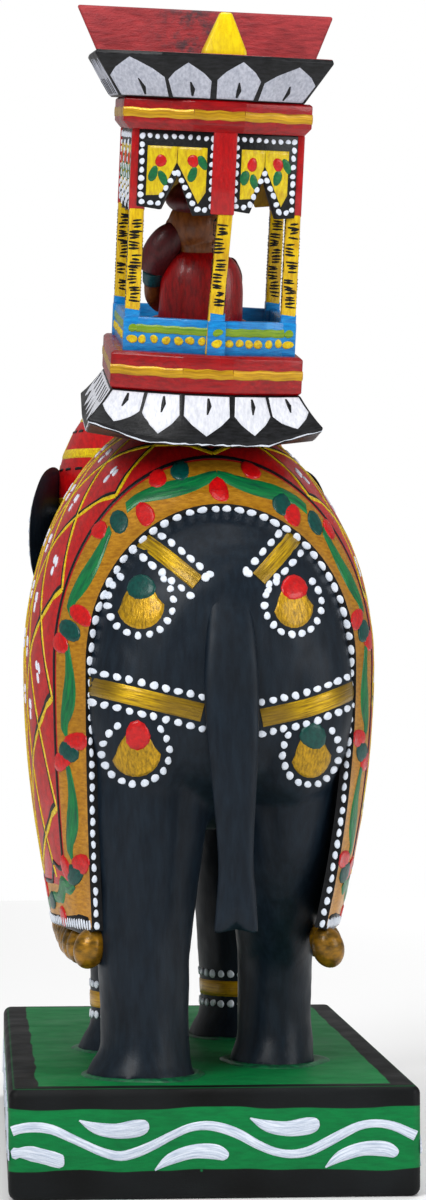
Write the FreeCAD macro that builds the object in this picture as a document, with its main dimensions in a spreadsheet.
import FreeCAD, Part
import math
import os

import Sketcher
from FreeCAD import Placement, Rotation, Vector

# A carved and painted wooden elephant standing on a block, with a howdah and a seated rider on its back.
# Frame: origin at the middle of the block's underside, +Z up, +Y the way the elephant faces,
# +X to the elephant's right. Sizes in millimetres.

SIZES = {
    # block
    "base_width": 76, "base_length": 152, "base_height": 20.5, "base_edge": 1.2,
    # elephant
    "body_halfwidth": 31.5, "back_height": 149, "belly_height": 66, "rump_back": -71.5, "neck_front": 23,
    "body_turn": 1.6, "turn_point": 20,
    "leg_halfwidth": 8.6, "leg_halfdepth": 10, "foot_flare": 2.2, "putty_height": 2.4,
    "head_halfwidth": 26, "head_centre": 40, "head_height": 136, "head_rise": 28,
    "ear_thick": 2.6, "ear_angle": 22, "tusk_radius": 2.6,
    "tail_width": 8.8, "tail_top": 113, "tail_tip": 50,
    "cloth_thick": 1.8, "cloth_hem": 48, "cloth_rear": -60, "cloth_front": 15,
    "bell_radius": 3.1, "bell_length": 8,
    "peg_radius": 1.8, "peg_length": 12,
    # howdah, in its own upright frame standing on the back
    "howdah_side": -0.5, "howdah_along": -29, "howdah_height": 146.4, "howdah_tilt": 10.5, "howdah_lean": 1.9,
    "point_out": 4.5, "facet_half": 4.8,
    "plate_halfwidth": 22, "plate_halflength": 28, "plate_height": 8.6,
    "mould_halfwidth": 18.4, "mould_halflength": 24.3, "mould_height": 7.4,
    "room_halfwidth": 15.8, "room_halflength": 22.2, "board_thick": 1.6,
    "rail_height": 6.5, "pillar_size": 2.8, "pillar_height": 42, "centre_post_side": 1.4,
    "curtain_height": 15.4, "curtain_notch": 6.5,
    "roof_mould_halfwidth": 17.9, "roof_mould_height": 6,
    "cornice_halfwidth": 22.5, "cornice_halflength": 27.4, "cornice_height": 8.5,
    "crest_height": 18.4, "crest_halfwidth": 26.4, "crest_thick": 2.4,
    "finial_width": 8.4, "finial_height": 8.6, "finial_side": 1.9, "finial_along": -4,
    # rider
    "rider_halfwidth": 8.4, "rider_height": 19, "rider_head": 5.1,
}

doc = FreeCAD.newDocument("elephant")
sheet = doc.addObject("Spreadsheet::Sheet", "sizes")
for row, (alias, number) in enumerate(SIZES.items(), start=1):
    sheet.set("A%d" % row, alias)
    sheet.set("B%d" % row, str(number))
    sheet.setAlias("B%d" % row, alias)
doc.recompute()

kept = []          # the sub-parts, in the order they are written


def size(alias):
    return float(sheet.get(alias))


def bind(thing, prop, formula):
    thing.setExpression(prop, formula)


def keep(thing, label):
    """Names a finished sub-part and notes it for export."""
    thing.Label = label
    kept.append(thing)
    return thing


# ---------------------------------------------------------------- building helpers

def new_body(name):
    return doc.addObject("PartDesign::Body", name)


def new_sketch(body, name, role, offset=Placement()):
    sketch = body.newObject("Sketcher::SketchObject", name)
    plane = next(f for f in body.Origin.OriginFeatures if f.Role == role)
    sketch.AttachmentSupport = (plane, [""])
    sketch.MapMode = "FlatFace"
    sketch.AttachmentOffset = offset
    return sketch


def draw_outline(sketch, points):
    """A closed outline of straight edges, joined corner to corner."""
    count = len(points)
    for i in range(count):
        start, end = points[i], points[(i + 1) % count]
        sketch.addGeometry(Part.LineSegment(Vector(*start, 0), Vector(*end, 0)))
    join_edges(sketch, count)


def join_edges(sketch, count):
    for i in range(count):
        sketch.addConstraint(Sketcher.Constraint("Coincident", i, 2, (i + 1) % count, 1))


def draw_smooth(sketch, points):
    """A closed smooth outline through the points."""
    curve = Part.BSplineCurve()
    curve.interpolate([Vector(*p, 0) for p in points], PeriodicFlag=True)
    sketch.addGeometry(curve)


def draw_ellipse(sketch, centre, across, up):
    middle = Vector(*centre, 0)
    if up > across:
        long_end, short_end = middle + Vector(0, up, 0), middle + Vector(-across, 0, 0)
    else:
        long_end, short_end = middle + Vector(across, 0, 0), middle + Vector(0, up, 0)
    sketch.addGeometry(Part.Ellipse(long_end, short_end, middle))


def pad(body, name, sketch, length, formula=None, midplane=False):
    feature = body.newObject("PartDesign::Pad", name)
    feature.Profile = sketch
    feature.Length = length
    if formula:
        bind(feature, "Length", formula)
    if midplane:
        feature.SideType = "Symmetric"
    body.Tip = feature
    return feature


def loft(body, name, sections, ruled=False):
    feature = body.newObject("PartDesign::AdditiveLoft", name)
    feature.Profile = sections[0]
    feature.Sections = sections[1:]
    feature.Ruled = ruled
    body.Tip = feature
    return feature


def spine_loft(name, stations):
    """A round limb through stations (x, y, z, radius), each section square to the way the limb runs."""
    body = new_body(name)
    sections = []
    for i, (x, y, z, radius) in enumerate(stations):
        before, after = stations[max(i - 1, 0)], stations[min(i + 1, len(stations) - 1)]
        along = Vector(*after[:3]) - Vector(*before[:3])
        turn = Rotation(Vector(0, 0, 1), along)
        sketch = new_sketch(body, "%s_ring_%d" % (name, i), "XY_Plane", Placement(Vector(x, y, z), turn))
        sketch.addGeometry(Part.Circle(Vector(0, 0, 0), Vector(0, 0, 1), radius))
        sections.append(sketch)
    loft(body, name + "_loft", sections)
    return body


def cut(name, thing, tools):
    """The thing with the tools taken out of it."""
    for i, tool in enumerate(tools):
        feature = doc.addObject("Part::Cut", "%s_cut_%d" % (name, i))
        feature.Base = thing
        feature.Tool = tool
        thing = feature
    return thing


def peg(name, place, length_formula="sizes.peg_length", radius_formula="sizes.peg_radius"):
    pin = doc.addObject("Part::Cylinder", name)
    bind(pin, "Radius", radius_formula)
    bind(pin, "Height", length_formula)
    pin.Placement = place
    return pin


def group(name, things):
    """Separate solids that share one node."""
    feature = doc.addObject("Part::Compound", name)
    feature.Links = things
    return feature


# ---------------------------------------------------------------- places

def elephant_place():
    """The elephant stands slightly turned on its block, rump to its own right."""
    pivot = Vector(0, size("turn_point"), 0)
    return Placement(Vector(0, 0, 0), Rotation(Vector(0, 0, 1), size("body_turn")), pivot)


def howdah_place():
    """The howdah leans back towards the rump, and a little to the right."""
    turn = Rotation(Vector(0, 1, 0), size("howdah_lean")) * Rotation(Vector(1, 0, 0), size("howdah_tilt"))
    return Placement(Vector(size("howdah_side"), size("howdah_along"), size("howdah_height")), turn)


ELEPHANT = elephant_place()
HOWDAH = howdah_place()
BASE_TOP = size("base_height")

# leg: name, middle across, middle along, top of the leg inside the body
LEGS = [
    ("leg_rear_left", -14.2, -56, 92), ("leg_rear_right", 12.4, -37, 92),
    ("leg_front_left", -13.6, -12, 92), ("leg_front_right", 11.2, 12, 96),
]


def on_elephant(x, y, z):
    return ELEPHANT.multVec(Vector(x, y, z))


# ---------------------------------------------------------------- block and pegs

def make_foot_pegs():
    half = size("peg_length") / 2
    return [peg("foot_peg_%d" % i, Placement(on_elephant(x, y, BASE_TOP - half), Rotation()))
            for i, (_, x, y, _) in enumerate(LEGS)]


def make_base(foot_pegs):
    body = new_body("base_block")
    sketch = new_sketch(body, "base_plan", "XY_Plane")
    half_x, half_y = size("base_width") / 2, size("base_length") / 2
    draw_outline(sketch, [(-half_x, -half_y), (half_x, -half_y), (half_x, half_y), (-half_x, half_y)])
    for edge, kind in ((0, "Horizontal"), (1, "Vertical"), (2, "Horizontal"), (3, "Vertical")):
        sketch.addConstraint(Sketcher.Constraint(kind, edge))
    sketch.addConstraint(Sketcher.Constraint("Symmetric", 0, 1, 2, 1, -1, 1))
    width = sketch.addConstraint(Sketcher.Constraint("DistanceX", 0, 1, 0, 2, 2 * half_x))
    length = sketch.addConstraint(Sketcher.Constraint("DistanceY", 1, 1, 1, 2, 2 * half_y))
    bind(sketch, "Constraints[%d]" % width, "sizes.base_width")
    bind(sketch, "Constraints[%d]" % length, "sizes.base_length")
    slab = pad(body, "base_slab", sketch, BASE_TOP, "sizes.base_height")
    doc.recompute()
    upright = ["Edge%d" % (i + 1) for i, e in enumerate(slab.Shape.Edges)
               if abs(e.tangentAt(e.FirstParameter).z) > 0.9]
    top = ["Edge%d" % (i + 1) for i, e in enumerate(slab.Shape.Edges)
           if e.CenterOfMass.z > BASE_TOP - 0.01]
    rounding = body.newObject("PartDesign::Fillet", "base_rounding")
    rounding.Base = (slab, upright + top)
    bind(rounding, "Radius", "sizes.base_edge")
    body.Tip = rounding
    return keep(cut("base", body, foot_pegs), "base_board")


# ---------------------------------------------------------------- elephant

def body_stations():
    """Along, half width, top and bottom of the body, from the rump to the neck."""
    wide, back, belly = size("body_halfwidth"), size("back_height"), size("belly_height")
    rump, neck = size("rump_back"), size("neck_front")
    return [
        (rump, 7, 107, 91), (rump + 2, 13.5, 113, 84), (rump + 6, 19.5, 120, 78),
        (rump + 12, 24, 126.5, 73), (rump + 22, 28.6, back - 10, 69), (rump + 34, wide - 0.7, back - 4.8, belly),
        (-26, wide, back - 2, belly), (-8, wide - 0.5, back, belly), (neck - 13, wide - 3.5, back - 3, 70),
        (neck, 21.5, back - 12, 80),
    ]


def make_body(tools):
    body = new_body("body_block")
    sections = []
    for i, (along, wide, top, bottom) in enumerate(body_stations()):
        place = Placement(Vector(0, 0, -along), Rotation())
        sketch = new_sketch(body, "body_section_%d" % i, "XZ_Plane", place)
        draw_ellipse(sketch, (0, (top + bottom) / 2), min(wide, (top - bottom) / 2 - 0.01), (top - bottom) / 2)
        sections.append(sketch)
    loft(body, "body_loft", sections)
    body.Placement = ELEPHANT
    return keep(cut("body", body, tools), "body")


def make_leg(name, x, y, top, tools):
    wide, deep, flare = size("leg_halfwidth"), size("leg_halfdepth"), size("foot_flare")
    levels = [(BASE_TOP, flare), (BASE_TOP + 4, 0.6), (BASE_TOP + 14, -0.4), (50, 0), (70, 1.4), (top, 2.2)]
    body = new_body(name + "_block")
    sections = []
    for i, (height, more) in enumerate(levels):
        sketch = new_sketch(body, "%s_ring_%d" % (name, i), "XY_Plane", Placement(Vector(0, 0, height), Rotation()))
        draw_ellipse(sketch, (x, y), wide + more, deep + more)
        sections.append(sketch)
    loft(body, name + "_loft", sections)
    body.Placement = ELEPHANT
    return keep(cut(name, body, tools), name)


def make_putty():
    """Paste pressed round each foot where it is stuck to the block."""
    wide, deep, flare = size("leg_halfwidth"), size("leg_halfdepth"), size("foot_flare")
    rings = []
    for name, x, y, _ in LEGS:
        body = new_body(name + "_paste_block")
        sections = []
        for i, (height, more) in enumerate([(0, 2.2), (size("putty_height"), 0.9)]):
            sketch = new_sketch(body, "%s_paste_%d" % (name, i), "XY_Plane",
                                Placement(Vector(0, 0, BASE_TOP + height), Rotation()))
            draw_ellipse(sketch, (x, y), wide + flare + more - 1, deep + flare + more - 1)
            sections.append(sketch)
        loft(body, name + "_paste_loft", sections)
        body.Placement = ELEPHANT
        leg = doc.getObject(name + "_block")
        rings.append(cut(name + "_paste", body, [leg]))
    return keep(group("putty_group", rings), "foot_putty")


def make_cloth(side, tools):
    """Half of the carved saddle cloth: a skin over the back whose skirt hangs clear of the legs."""
    name = "cloth_left" if side < 0 else "cloth_right"
    thick, hem = size("cloth_thick"), size("cloth_hem")
    wide, back = size("body_halfwidth") + 2.8, size("back_height") + 2
    rear, front = size("cloth_rear"), size("cloth_front")
    waist = 98.6
    stations = [(rear, 26.5, 130), (rear + 11, 31.4, back - 9.5), (rear + 24, wide - 0.4, back - 4.6),
                (-22, wide, back - 1.8), (front - 15, wide - 0.6, back), (front, wide - 3.6, back - 2.5)]
    body = new_body(name + "_block")
    sections = []
    for i, (along, half, top) in enumerate(stations):
        place = Placement(Vector(0, 0, -along), Rotation())
        sketch = new_sketch(body, "%s_section_%d" % (name, i), "XZ_Plane", place)
        outer = skirt_points(half, top, waist, hem)
        inner = lining_points(outer, waist, 2 * thick)
        points = [(side * x, z) for x, z in outer + inner[::-1]]
        draw_outline(sketch, points)
        sections.append(sketch)
    loft(body, name + "_loft", sections, ruled=True)
    body.Placement = ELEPHANT
    return keep(cut(name, body, tools), name)


def skirt_points(half, top, waist, hem):
    """Half a cross-section, from the spine over the flank and down to the hem."""
    points = []
    for step in range(7):
        angle = math.radians(90 - 15 * step)
        points.append((half * math.cos(angle), waist + (top - waist) * math.sin(angle)))
    points[0] = (0, top)
    drop = 83
    for step in range(1, 5):
        z = waist - (waist - hem) * step / 4
        points.append((half * math.sqrt(1 - ((waist - z) / drop) ** 2), z))
    return points


def lining_points(outer, waist, depth):
    """The same half section, moved inwards; the part that meets the body is trimmed by the body later."""
    middle = Vector(0, waist, 0)
    points = []
    for x, z in outer:
        if z > waist:
            inward = (Vector(x, z, 0) - middle).normalize() * depth
            points.append((max(x - inward.x, 0), z - inward.y))
        else:
            points.append((x - depth / 2, z))
    points[0] = (0, outer[0][1] - depth)
    return points


def make_bells(side):
    """Wooden bells under the hem, one solid each."""
    name = "bells_left" if side < 0 else "bells_right"
    bells = []
    for i, along in enumerate((-47, -35, -10, 3)):
        bell = doc.addObject("Part::Ellipsoid", "%s_%d" % (name, i))
        bind(bell, "Radius1", "sizes.bell_length / 2")
        bind(bell, "Radius2", "sizes.bell_radius")
        bind(bell, "Radius3", "sizes.bell_radius")
        drop = size("cloth_hem") - size("bell_length") / 2 + 0.3
        bell.Placement = ELEPHANT * Placement(Vector(side * 26.8, along, drop - 0.6), Rotation())
        bells.append(bell)
    hem = doc.getObject(("cloth_left" if side < 0 else "cloth_right") + "_block")
    return keep(group(name + "_group", [cut("%s_%d" % (name, i), b, [hem]) for i, b in enumerate(bells)]), name)


def make_head(tools):
    skull = doc.addObject("Part::Ellipsoid", "skull")
    bind(skull, "Radius1", "sizes.head_rise")
    bind(skull, "Radius2", "sizes.head_halfwidth")
    bind(skull, "Radius3", "sizes.head_halfwidth - 2")
    skull.Placement = ELEPHANT * Placement(Vector(0, size("head_centre"), size("head_height")), Rotation())
    jaw = doc.addObject("Part::Ellipsoid", "jaw")
    jaw.Radius1, jaw.Radius2, jaw.Radius3 = 15, 17, 15
    jaw.Placement = ELEPHANT * Placement(Vector(0, size("head_centre") + 4, 114), Rotation())
    head = doc.addObject("Part::Fuse", "head_fuse")
    head.Base, head.Tool = skull, jaw
    return keep(cut("head", head, tools), "head")


TRUNK = [(0, 51, 124, 13), (0, 58, 110, 10.5), (0, 62, 92, 8.4), (0, 62.5, 74, 6.8), (0, 62, 58, 5.6),
         (0, 63.5, 46, 4.7), (0, 68, 38, 4.1)]


def make_trunk(tools):
    body = spine_loft("trunk_block", TRUNK)
    body.Placement = ELEPHANT
    return keep(cut("trunk", body, tools), "trunk")


def make_tusk(side, tools):
    name = "tusk_left" if side < 0 else "tusk_right"
    thick = size("tusk_radius")
    body = spine_loft(name + "_block", [(side * 13.5, 51, 112, thick), (side * 15, 60, 106.5, thick * 0.9),
                                        (side * 15, 67, 106, thick * 0.66), (side * 14, 72, 109, thick * 0.34)])
    body.Placement = ELEPHANT
    return keep(cut(name, body, tools), name)


def make_ear(side, tools):
    """A thin flap hinged along its front edge and standing out from the head."""
    name = "ear_left" if side < 0 else "ear_right"
    body = new_body(name + "_block")
    sketch = new_sketch(body, name + "_outline", "YZ_Plane")
    draw_smooth(sketch, [(0, 11), (-9, 16.5), (-19, 13), (-23, 3), (-19, -9), (-11, -16.5), (-3, -11), (0, 0)])
    pad(body, name + "_pad", sketch, size("ear_thick"), "sizes.ear_thick", midplane=True)
    turn = Rotation(Vector(0, 0, 1), side * size("ear_angle"))
    body.Placement = ELEPHANT * Placement(Vector(side * 24.6, 47, 127), turn)
    return keep(cut(name, body, tools), name)


def make_tail(tools):
    """A flat tail with a notched tip, narrow from the side and following the rump."""
    face = new_body("tail_face")
    outline = new_sketch(face, "tail_outline", "XZ_Plane")
    half, top, tip = size("tail_width") / 2, size("tail_top"), size("tail_tip")
    draw_outline(outline, [(-half * 0.75, top), (half * 0.75, top), (half, top - 14), (half * 0.8, tip + 13),
                           (half * 0.95, tip - 1), (0.3, tip + 2.5), (-half, tip + 0.6), (-half * 0.8, tip + 13),
                           (-half, top - 14)])
    pad(face, "tail_face_pad", outline, 90)
    side = new_body("tail_side")
    profile = new_sketch(side, "tail_profile", "YZ_Plane")
    draw_outline(profile, [(-64, top), (-69, top - 2), (-73.3, top - 11), (-74.6, top - 24), (-74.2, tip - 2),
                           (-71.2, tip - 2), (-71, top - 24), (-62, top - 20)])
    pad(side, "tail_side_pad", profile, 20, midplane=True)
    tail = doc.addObject("Part::Common", "tail_common")
    tail.Base, tail.Tool = face, side
    tail.Placement = ELEPHANT * Placement(Vector(1.2, 0, 0), Rotation())
    return keep(cut("tail", tail, tools), "tail")


# ---------------------------------------------------------------- howdah

def plan(half, length, point=None, facet=None):
    """Plan of a howdah tier: a long octagon whose ends come to a blunt point."""
    point = size("point_out") if point is None else point
    facet = size("facet_half") if facet is None else facet
    return [(-half, -length), (-facet, -length - point), (facet, -length - point), (half, -length),
            (half, length), (facet, length + point), (-facet, length + point), (-half, length)]


def tier(name, levels):
    """A stack of octagons, straight-sided between one level and the next."""
    body = new_body(name + "_block")
    sections = []
    for i, (height, half, length) in enumerate(levels):
        sketch = new_sketch(body, "%s_plan_%d" % (name, i), "XY_Plane", Placement(Vector(0, 0, height), Rotation()))
        draw_outline(sketch, plan(half, length))
        sections.append(sketch)
    loft(body, name + "_loft", sections, ruled=True)
    body.Placement = HOWDAH
    return body


def moulding(name, bottom, height, half, length):
    edge = 0.9
    return tier(name, [(bottom, half - edge, length - edge), (bottom + edge, half, length),
                       (bottom + height - edge, half, length), (bottom + height, half - edge, length - edge)])


def howdah_levels():
    plate = size("plate_height")
    floor = plate + size("mould_height")
    roof = floor + size("pillar_height")
    cornice = roof + size("roof_mould_height")
    return {"plate": plate, "floor": floor, "roof": roof, "cornice": cornice,
            "deck": cornice + size("cornice_height")}


LEVEL = howdah_levels()


def make_howdah_tiers(howdah_pegs):
    half, length = size("mould_halfwidth"), size("mould_halflength")
    plate = tier("plate", [(0, size("plate_halfwidth") - 0.8, size("plate_halflength") - 0.8),
                           (1.2, size("plate_halfwidth"), size("plate_halflength")),
                           (LEVEL["plate"], half - 0.4, length - 0.4)])
    keep(cut("plate", plate, howdah_pegs), "lotus_plate")
    keep(moulding("lower_moulding", LEVEL["plate"], size("mould_height"), half, length), "lower_moulding")
    keep(moulding("upper_moulding", LEVEL["roof"], size("roof_mould_height"), size("roof_mould_halfwidth"),
                  size("mould_halflength") - 0.6), "upper_moulding")


def corner_points(half, length, point):
    return {"rear_left": (-half, -length), "rear_centre": (0, -length - point), "rear_right": (half, -length),
            "front_right": (half, length), "front_centre": (0, length + point), "front_left": (-half, length)}


POSTS = corner_points(size("room_halfwidth") - size("pillar_size") / 2,
                      size("room_halflength") - size("pillar_size") / 2, size("point_out"))
POSTS["rear_centre"] = (size("centre_post_side"), POSTS["rear_centre"][1])


def make_pillars():
    """Square posts from the floor to the roof, each with a wider head between the curtain boards."""
    thick = size("pillar_size")
    pillars = []
    for name, (x, y) in POSTS.items():
        body = new_body("pillar_" + name + "_block")
        for part, side, bottom, height in (("shaft", thick, LEVEL["floor"], size("pillar_height")),
                                           ("cap", thick + (1.4 if "centre" in name else 0.2),
                                            LEVEL["roof"] - size("curtain_height"), size("curtain_height"))):
            sketch = new_sketch(body, "pillar_%s_%s" % (name, part), "XY_Plane",
                                Placement(Vector(x, y, bottom), Rotation()))
            half = side / 2
            draw_outline(sketch, [(-half, -half), (half, -half), (half, half), (-half, half)])
            pad(body, "pillar_%s_%s_pad" % (name, part), sketch, height,
                "sizes.pillar_height" if part == "shaft" else "sizes.curtain_height")
        body.Placement = HOWDAH
        pillars.append(keep(body, "pillar_" + name))
    return pillars


WALLS = [("rear_left", "rear_left", "rear_centre"), ("rear_right", "rear_centre", "rear_right"),
         ("right", "rear_right", "front_right"), ("front_right", "front_right", "front_centre"),
         ("front_left", "front_centre", "front_left"), ("left", "front_left", "rear_left")]


def wall_board(name, wall, bottom, outline, pillars):
    """A board standing between two posts; outline is given from its middle, along and up."""
    label, start, end = wall
    first, last = Vector(*POSTS[start], 0), Vector(*POSTS[end], 0)
    along = last - first
    middle = (first + last) * 0.5 + Vector(0, 0, bottom)
    body = new_body("%s_%s_block" % (name, label))
    sketch = new_sketch(body, "%s_%s_outline" % (name, label), "XZ_Plane")
    draw_outline(sketch, outline(along.Length / 2))
    pad(body, "%s_%s_pad" % (name, label), sketch, size("board_thick"), "sizes.board_thick", midplane=True)
    turn = Rotation(Vector(0, 0, 1), math.degrees(math.atan2(along.y, along.x)))
    outward = turn.multVec(Vector(0, -1, 0)) * (size("pillar_size") - size("board_thick")) * 0.35
    body.Placement = HOWDAH * Placement(middle + outward, turn)
    posts = [p for p in pillars if p.Label in ("pillar_" + start, "pillar_" + end)]
    keep(cut("%s_%s" % (name, label), body, posts), "%s_%s" % (name, label))


def rail_outline(half):
    tall = size("rail_height")
    return [(-half, 0), (half, 0), (half, tall), (-half, tall)]


def curtain_outline(half):
    """A board whose lower edge rises in a notch between two hanging points."""
    tall, notch = size("curtain_height"), size("curtain_notch")
    return [(-half, tall), (-half, 0.6), (-half * 0.45, 0.6), (0, notch), (half * 0.45, 0), (half, 0), (half, tall)]


def make_walls(pillars):
    for wall in WALLS:
        wall_board("rail", wall, LEVEL["floor"], rail_outline, pillars)
    for wall in WALLS:
        wall_board("curtain", wall, LEVEL["roof"] - size("curtain_height"), curtain_outline, pillars)


def make_roof():
    half, length = size("cornice_halfwidth"), size("cornice_halflength")
    bottom = LEVEL["cornice"]
    block = tier("cornice", [(bottom, half - 3.6, length - 3.8), (LEVEL["deck"] - 1, half, length),
                             (LEVEL["deck"], half - 0.5, length - 0.5)])
    crest = new_body("crest_block")
    thick, wide, tall = size("crest_thick"), size("crest_halfwidth"), size("crest_height")
    sections = []
    for i, (height, across, along) in enumerate(((0, wide - 7.6, 26.4), (tall, wide, 31))):
        sketch = new_sketch(crest, "crest_section_%d" % i, "XY_Plane",
                            Placement(Vector(0, 0, bottom + height), Rotation()))
        draw_outline(sketch, [(-across, along - thick), (across, along - thick), (across, along), (-across, along)])
        sections.append(sketch)
    loft(crest, "crest_loft", sections, ruled=True)
    crest.Placement = HOWDAH
    front = doc.addObject("Part::Box", "cornice_front")
    front.Length, front.Width, front.Height = 80, 20, 40
    front.Placement = HOWDAH * Placement(Vector(-40, 24.2, bottom - 5), Rotation(Vector(1, 0, 0), -14.5))
    keep(cut("cornice", block, [front, crest]), "cornice")
    keep(crest, "crest_board")


def make_finial():
    """A blunt four-sided point on a small square foot, in the middle of the roof."""
    half, tall, foot = size("finial_width") / 2, size("finial_height"), 1.0
    side_shift, along_shift = size("finial_side"), size("finial_along")
    body = new_body("finial_block")
    sections = []
    for i, (height, side) in enumerate(((0, half), (foot, half), (tall, 1.3))):
        sketch = new_sketch(body, "finial_square_%d" % i, "XY_Plane",
                            Placement(Vector(side_shift, along_shift, LEVEL["deck"] + height), Rotation()))
        draw_outline(sketch, [(-side, -side), (side, -side), (side, side), (-side, side)])
        sections.append(sketch)
    loft(body, "finial_loft", sections, ruled=True)
    body.Placement = HOWDAH
    keep(body, "finial")


# ---------------------------------------------------------------- rider

def ball(name, centre, across, along, up):
    shape = doc.addObject("Part::Ellipsoid", name)
    shape.Radius1, shape.Radius2, shape.Radius3 = up, across, along
    shape.Placement = HOWDAH * Placement(Vector(*centre), Rotation())
    return shape


def make_rider():
    wide, tall, head = size("rider_halfwidth"), size("rider_height"), size("rider_head")
    floor = LEVEL["floor"]
    torso = new_body("rider_torso_block")
    sections = []
    for i, (height, across, along) in enumerate(((0, wide, 6), (tall * 0.5, wide, 5.4), (tall * 0.8, wide - 1.6, 4.6),
                                                 (tall, 3, 2.8))):
        sketch = new_sketch(torso, "rider_section_%d" % i, "XY_Plane",
                            Placement(Vector(0, -4, floor + height), Rotation()))
        draw_ellipse(sketch, (0, 0), across, along)
        sections.append(sketch)
    loft(torso, "rider_torso_loft", sections)
    torso.Placement = HOWDAH
    skull = ball("rider_skull", (-1.6, -3.4, floor + tall + head - 0.6), head, head - 0.3, head + 0.4)
    lap = new_body("rider_lap_block")
    outline = new_sketch(lap, "rider_lap_outline", "XY_Plane", Placement(Vector(0, 0, floor), Rotation()))
    draw_ellipse(outline, (0, 3.5), wide + 1.6, 7.5)
    pad(lap, "rider_lap_pad", outline, 5)
    lap.Placement = HOWDAH
    wrap = ball("rider_wrap", (-1.6, -3.4, floor + tall + 2 * head - 0.2), head + 1.2, head + 1, head * 0.72)
    keep(torso, "rider_torso")
    keep(cut("rider_lap", lap, [torso]), "rider_lap")
    keep(cut("rider_head", skull, [torso]), "rider_head")
    keep(cut("rider_turban", wrap, [skull]), "rider_turban")
    for side, label in ((-1, "rider_arm_left"), (1, "rider_arm_right")):
        arm = spine_loft(label + "_block", [(side * 5.6, -4, floor + tall - 5, 2.5), (side * 9.2, -3, floor + 12, 2.3),
                                            (side * 9.8, 1, floor + 8.6, 2), (side * 7.4, 5, floor + 7.8, 1.7)])
        arm.Placement = HOWDAH
        keep(cut(label, arm, [torso, doc.getObject("rider_lap_block")]), label)


# ---------------------------------------------------------------- assembly

def make_inner_pegs():
    """Dowels that hold the carved pieces together, as (name, place on the elephant, direction)."""
    half = size("peg_length") / 2
    spots = {"neck_dowel": (Vector(0, size("neck_front") - half, 122), Vector(0, 1, 0)),
             "trunk_dowel": (Vector(0, 47, 118), Vector(0, 1, -1)),
             "tail_dowel": (Vector(1.2, -73, 96), Vector(0, 1, 0))}
    return {name: peg(name + "_pin", ELEPHANT * Placement(spot, Rotation(Vector(0, 0, 1), way)))
            for name, (spot, way) in spots.items()}


def make_howdah_pegs():
    depth = size("peg_length") / 2
    return [peg("howdah_peg_%d" % i, HOWDAH * Placement(Vector(0, y, -depth - 1), Rotation()))
            for i, y in enumerate((-10, 12))]


foot_pegs = make_foot_pegs()
howdah_pegs = make_howdah_pegs()
dowels = make_inner_pegs()
make_base(foot_pegs)
plate_envelope = tier("plate_room", [(-0.05, 21.2, 27.2), (1.2, 22, 28), (8, 18, 24)])
make_body(howdah_pegs + [plate_envelope, dowels["neck_dowel"], dowels["tail_dowel"]])
body_block = doc.getObject("body_block")
for leg_name, leg_x, leg_y, leg_top in LEGS:
    make_leg(leg_name, leg_x, leg_y, leg_top, [body_block] + foot_pegs)
make_putty()
leg_blocks = [doc.getObject(leg[0] + "_block") for leg in LEGS]
for cloth_side in (-1, 1):
    make_cloth(cloth_side, [body_block, plate_envelope] + leg_blocks + howdah_pegs)
    make_bells(cloth_side)
cloth_blocks = [doc.getObject(n) for n in ("cloth_left_block", "cloth_right_block")]
make_head([body_block, dowels["neck_dowel"], dowels["trunk_dowel"]] + cloth_blocks)
head_solids = [doc.getObject("skull"), doc.getObject("jaw")]
make_trunk(head_solids + [dowels["trunk_dowel"]])
trunk_block = doc.getObject("trunk_block")
for head_side in (-1, 1):
    make_tusk(head_side, head_solids + [trunk_block])
    make_ear(head_side, head_solids + [body_block])
make_tail([body_block, dowels["tail_dowel"]])
keep(group("foot_pegs_group", foot_pegs), "foot_pegs")
keep(group("howdah_pegs_group", howdah_pegs), "howdah_pegs")
for dowel_name, pin in dowels.items():
    keep(pin, dowel_name)
make_howdah_tiers(howdah_pegs)
make_walls(make_pillars())
make_roof()
make_finial()
make_rider()

doc.recompute()

failed = [o.Name for o in doc.Objects if "Invalid" in o.State or "Error" in o.State]
if failed:
    raise SystemExit("failed features: " + ", ".join(failed))
for piece in kept:
    if piece.Shape.isNull() or not piece.Shape.isValid() or piece.Shape.Volume <= 0:
        raise SystemExit("bad shape: " + piece.Label)

os.makedirs("parts", exist_ok=True)
for piece in kept:
    piece.Shape.exportStep(os.path.join("parts", piece.Label + ".step"))
print("%d sub-parts written" % len(kept))
